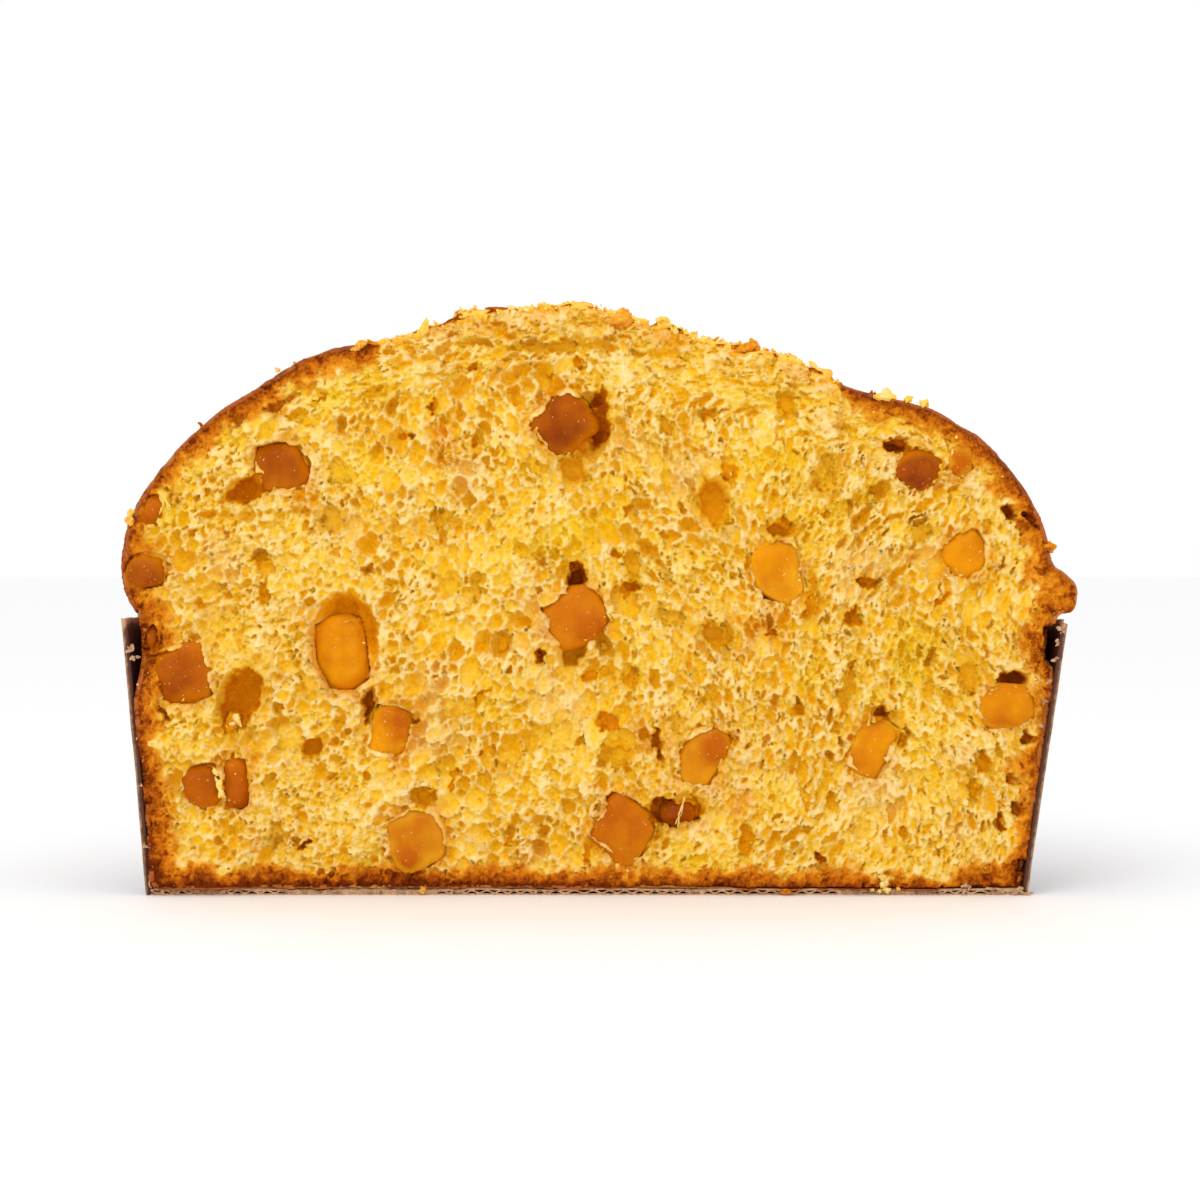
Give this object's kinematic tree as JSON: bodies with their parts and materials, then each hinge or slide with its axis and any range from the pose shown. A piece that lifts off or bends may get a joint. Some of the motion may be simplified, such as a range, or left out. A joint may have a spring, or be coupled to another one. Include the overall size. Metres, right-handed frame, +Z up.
{
  "type": "half of a low panettone",
  "caption": "Half of a low sweet dome loaf with candied fruit, cut straight down to show its open crumb, in its fluted brown paper baking case.",
  "frame": {"origin": "middle of the footprint's box, on the surface that the paper case stands on", "axes": "+Z up, +X along the cut face to its right as seen from the front, +Y from the cut face towards the round back"},
  "size_m": [0.2266, 0.1136, 0.1401],
  "materials": {
    "case_paper": "matte fluted baking paper, kraft at its cut edges",
    "crumb": "matte open golden crumb inside a brown baked crust",
    "fruit_dark": "moist translucent dark amber candied fruit",
    "fruit_light": "moist translucent orange candied fruit"
  },
  "bodies": {
    "root": {"paper_case": "case_paper", "loaf": "crumb", "candied_fruit_01": "fruit_dark", "candied_fruit_02": "fruit_dark", "candied_fruit_03": "fruit_dark", "candied_fruit_04": "fruit_dark", "candied_fruit_05": "fruit_light", "candied_fruit_06": "fruit_dark", "candied_fruit_07": "fruit_dark", "candied_fruit_08": "fruit_dark", "candied_fruit_09": "fruit_dark", "candied_fruit_10": "fruit_light", "candied_fruit_11": "fruit_light", "candied_fruit_12": "fruit_dark", "candied_fruit_13": "fruit_dark", "candied_fruit_14": "fruit_dark", "candied_fruit_15": "fruit_light", "candied_fruit_16": "fruit_light", "candied_fruit_17": "fruit_light", "candied_fruit_18": "fruit_light", "candied_fruit_19": "fruit_dark", "candied_fruit_20": "fruit_light", "candied_fruit_21": "fruit_light"}
  },
  "joints": []
}
